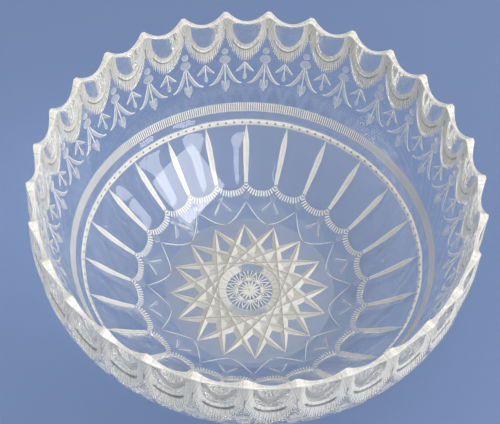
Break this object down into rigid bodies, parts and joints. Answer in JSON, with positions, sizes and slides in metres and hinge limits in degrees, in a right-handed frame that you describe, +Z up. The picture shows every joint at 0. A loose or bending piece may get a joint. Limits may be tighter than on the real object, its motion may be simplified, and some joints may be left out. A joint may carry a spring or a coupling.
{
  "type": "punch bowl",
  "caption": "Large round cut-glass punch bowl with a toothed rim, thick clear wall, long fluted sides and a star-cut flat base.",
  "frame": {"origin": "centre of the flat face that the bowl stands on", "axes": "+Z up along the bowl's axis, out of its open mouth; +Y points to within about a degree of one rim tip"},
  "size_m": [0.357, 0.3574, 0.17],
  "materials": {
    "clear_glass": "polished clear glass with ground, unpolished cuts on the outside"
  },
  "bodies": {
    "root": {"bowl": "clear_glass"}
  },
  "joints": []
}
